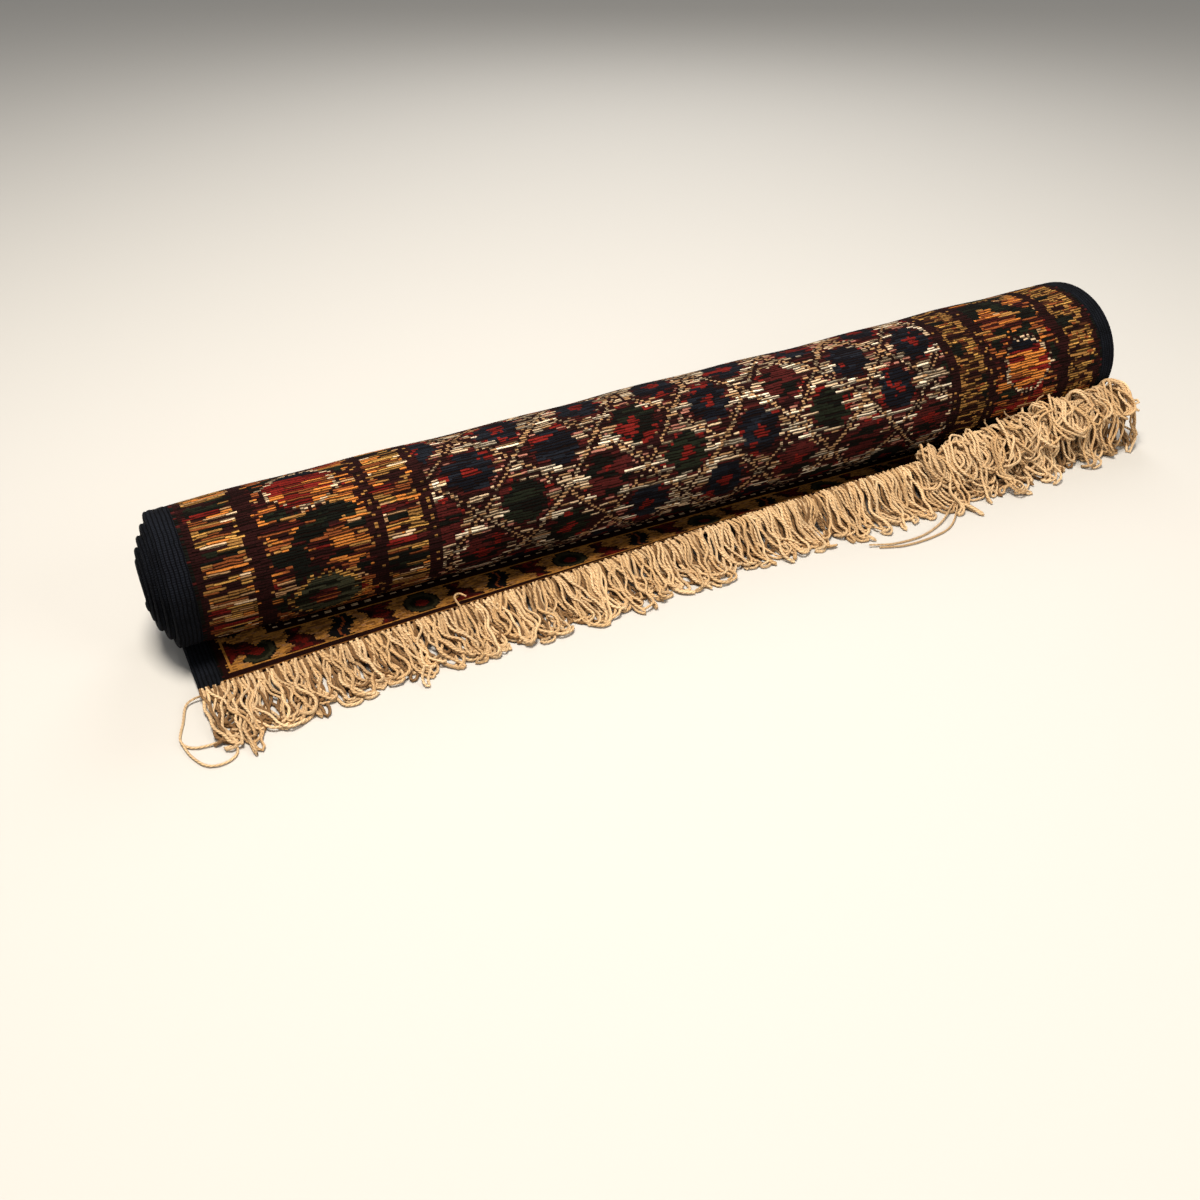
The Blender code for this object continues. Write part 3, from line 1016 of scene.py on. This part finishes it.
def fringe_loop(rng, middle, mess=0.0):
    """One uncut loop as a line: out along its middle line, round a small bend and back."""
    share = np.linspace(0.0, 1.0, len(middle))
    open_at = rng.uniform(0.8, 1.8)
    width = 0.0010 + rng.uniform(0.0, 0.0042 + 0.0010 * mess) * np.sin(np.pi * share**open_at)
    width = width + rng.uniform(0.0, 0.0016) * share**4
    twist = rng.uniform(-0.8, 0.8) * np.pi * share + rng.uniform(-0.5, 0.5)
    ahead = np.gradient(middle, axis=0)
    ahead[:, 2] = 0.0
    ahead /= np.linalg.norm(ahead, axis=1)[:, None] + 1e-9
    beside = np.stack([-ahead[:, 1], ahead[:, 0], np.zeros(len(ahead))], -1)
    offset = beside * (np.cos(twist) * width)[:, None]
    offset[:, 2] = 0.8 * np.sin(twist) * width
    around = np.linspace(-0.5, 0.5, 5)[1:-1, None] * np.pi
    tip = middle[-1] + offset[-1] * np.sin(around) + ahead[-1] * 1.3 * width[-1] * np.cos(around)
    line = np.vstack([(middle - offset)[::2], tip, (middle + offset)[::-2]])
    line = smooth_line(line, 2 * LOOP_POINTS - 2)
    line[:, 2] = np.maximum(line[:, 2], CORD_RADIUS)
    return line + np.array([EDGE_X, AXIS_Y, 0.0])


def header_line():
    """The cream edging along the front of the loose end."""
    u = np.linspace(0.0, RUG_WIDTH, 260)
    points = on_loose_end(u, 0.0, 0.5 * CLOTH_THICK)
    points[:, 1] -= 0.0008 - 0.0005 * np.sin(u * 900.0)
    points[:, 2] += 0.0003 * np.sin(u * 700.0 + 1.0)
    return points


def joined_tubes(name, runs, material):
    """Many cords as one mesh. Each run is (line, radius, colour)."""
    points, faces, us, vs, colours = [], [], [], [], []
    count = 0
    for line, radius, colour in runs:
        made, quads, u, v = tube(line, radius)
        points.append(made)
        faces.append(quads + count)
        us.append(u)
        vs.append(v)
        colours.append(np.tile(colour, (len(quads), 1)))
        count += len(made)
    obj = mesh_object(name, np.vstack(points), np.vstack(faces).tolist())
    write_uv(obj, np.concatenate(us), np.concatenate(vs))
    write_colours(obj, np.vstack(colours))
    obj.data.materials.append(material)
    face_outwards(obj)
    close_ends(obj)
    smooth_shaded(obj, 80.0)
    return obj


def cotton_tone(rng):
    """The colour of one cord, between the pale cotton and the deep one."""
    share = rng.random()
    return np.array(COTTON_PALE) * share + np.array(COTTON_DEEP) * (1.0 - share)


def messiness(u):
    """How tangled the fringe is at this place across the rug, from 0 to 1."""
    return float(ease((u / RUG_WIDTH - MESS_START) / 0.10))


def fringe(material):
    """The loops that show: side by side at first, and past MESS_START turned up and tangled."""
    rng = np.random.default_rng(21)
    runs = [(header_line(), HEADER_RADIUS, np.array(HEADER_COLOUR))]
    for index in range(LOOPS):
        u = (index + 0.5 + rng.uniform(-0.4, 0.4)) * RUG_WIDTH / LOOPS
        mess = messiness(u) * rng.random()
        middle = wandering_line(rng, u, mess, False)
        radius = CORD_RADIUS * rng.uniform(0.85, 1.15)
        runs.append((fringe_loop(rng, middle, mess), radius, cotton_tone(rng)))
    first, last = TURNED_UP
    for index in range(TURNED_UP_LOOPS):
        u = RUG_WIDTH * (first + (last - first) * (index + rng.random()) / TURNED_UP_LOOPS)
        arched = rng.random() < 0.7
        middle = arching_line(rng, u) if arched else wandering_line(rng, u, 1.0, False)
        runs.append((fringe_loop(rng, middle, 0.8), CORD_RADIUS, cotton_tone(rng)))
    return joined_tubes("fringe_loops", runs, material)


def under_fringe(material):
    """Shorter loops beneath the others, in the shade between them."""
    rng = np.random.default_rng(22)
    runs = []
    for index in range(UNDER_LOOPS):
        u = (index + rng.uniform(0.1, 0.9)) * RUG_WIDTH / UNDER_LOOPS
        middle = wandering_line(rng, u, 0.0, True)
        runs.append((fringe_loop(rng, middle), CORD_RADIUS, cotton_tone(rng)))
    return joined_tubes("fringe_under_loops", runs, material)


def stray_threads(material):
    """Threads that have worked loose, each through a few points in millimetres."""
    ring = ((4, 66, 4), (-9, 68, 2), (-15, 84, 1), (-20, 102, 1), (-12, 112, 1), (10, 113, 2))
    bow = ((-20, 103, 2), (-17, 118, 1), (-10, 131, 1), (1, 133, 1), (9, 126, 1), (8, 108, 2))
    routes = (
        # from the left edge, in front of the axis, height
        ring + ((22, 108, 3),),
        bow + ((2, 92, 2), (8, 74, 4)),
        ((590, 104, 5), (566, 118, 1.5), (540, 126, 1), (514, 125, 1), (494, 119, 2)),
        ((600, 100, 6), (572, 124, 1), (548, 131, 1), (520, 131, 1), (500, 124, 1)),
        ((180, 66, 12), (178, 58, 17), (183, 53, 16), (187, 57, 15)),
        ((668, 66, 30), (664, 60, 34), (660, 55, 40), (664, 52, 46), (668, 53, 48)),
        ((690, 67, 32), (687, 61, 38), (680, 57, 44), (678, 55, 50)),
        ((716, 68, 36), (712, 62, 44), (714, 58, 50), (720, 58, 53)),
    )
    rng = np.random.default_rng(5)
    runs = []
    for route in routes:
        line = smooth_line(np.array([(x, -y, z) for x, y, z in route]) * 0.001, 44)
        line[:, 2] = np.maximum(line[:, 2], THREAD_RADIUS)
        line += np.array([EDGE_X, AXIS_Y, 0.0])
        runs.append((line, THREAD_RADIUS, cotton_tone(rng)))
    return joined_tubes("stray_threads", runs, material)


# ---- the room ----


def make_floor():
    """A plain pale floor, just beneath the rug."""
    deselect_all()
    bpy.ops.mesh.primitive_plane_add(size=12.0, location=(0.0, 0.0, -0.0004))
    floor = bpy.context.object
    floor.name = "studio_floor"
    n = Nodes("pale_floor")
    pale = (0.50, 0.49, 0.47, 1.0)
    n.fill(n.shader, {"Base Color": pale, "Roughness": 0.75, "Specular IOR Level": 0.2})
    floor.data.materials.append(n.material)


def area_light(name, place, aim, size, power, colour):
    """A soft round light at a place, turned towards its aim."""
    light = bpy.data.lights.new(name, "AREA")
    light.shape = "DISK"
    light.size = size
    light.energy = power
    light.color = colour
    obj = bpy.data.objects.new(name, light)
    bpy.context.scene.collection.objects.link(obj)
    direction = Vector(aim) - Vector(place)
    obj.rotation_euler = direction.to_track_quat("-Z", "Y").to_euler()
    obj.location = place


def make_lights():
    """A warm key from above, a fill in front and a light from behind."""
    area_light("key", (-0.35, -0.15, 1.75), (0.0, 0.0, 0.0), 0.6, 49.0, (1.0, 0.92, 0.81))
    area_light("fill", (0.9, -1.5, 1.0), (0.1, 0.0, 0.0), 1.0, 13.0, (1.0, 0.95, 0.88))
    area_light("back", (0.7, 1.3, 1.3), (0.0, 0.0, 0.05), 1.0, 12.0, (1.0, 0.98, 0.95))
    world = bpy.data.worlds.new("studio")
    world.use_nodes = True
    background = world.node_tree.nodes["Background"]
    background.inputs["Color"].default_value = (1.0, 0.99, 0.97, 1.0)
    background.inputs["Strength"].default_value = 0.35
    bpy.context.scene.world = world
    bpy.context.scene.view_settings.view_transform = "Standard"


def make_camera():
    """The eye stands in front of the roll's left end and looks down along it."""
    yaw, pitch, tilt = 0.4858, 0.6146, 0.0022
    eye = (EDGE_X - 0.0402, AXIS_Y - 0.6933, 0.4817)
    data = bpy.data.cameras.new("eye")
    data.sensor_width = 36.0
    data.lens = 34.95
    data.shift_x = -0.0030
    data.shift_y = 0.0022
    camera = bpy.data.objects.new("eye", data)
    turn = Matrix.Rotation(-yaw, 4, "Z") @ Matrix.Rotation(math.pi / 2.0 - pitch, 4, "X")
    turn = turn @ Matrix.Rotation(tilt, 4, "Z")
    camera.matrix_world = Matrix.Translation(eye) @ turn
    bpy.context.scene.collection.objects.link(camera)
    bpy.context.scene.camera = camera


# ---- the whole ----

make_camera()
make_floor()
make_lights()

woven = wool_material("woven_back_wool", BACK_KNOT, gap_shade=0.92, row_bump=0.0007, in_strokes=True)
pile = wool_material("pile_wool", PILE_KNOT, gap_shade=0.35, row_bump=0.0003, in_strokes=False)
overcast = selvedge_material()
cotton = cotton_material("twisted_cotton", (1.0, 1.0, 1.0, 1.0))
shaded_cotton = cotton_material("shaded_cotton", (0.34, 0.27, 0.20, 1.0))

outer = outer_turn(woven)
inner = inner_turns(woven)
loose = loose_end(pile)
left_edge = selvedge("selvedge_left", False, overcast)
right_edge = selvedge("selvedge_right", True, overcast)
loops = fringe(cotton)
under = under_fringe(shaded_cotton)
threads = stray_threads(cotton)

for piece in (outer, inner, loose, left_edge, right_edge, loops, under, threads):
    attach(piece, "root")
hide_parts("rolled_body")
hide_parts("loose_end")
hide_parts("roll_selvedge_left", "loose_selvedge_left")
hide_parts("roll_selvedge_right", "loose_selvedge_right")
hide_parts("fringe")
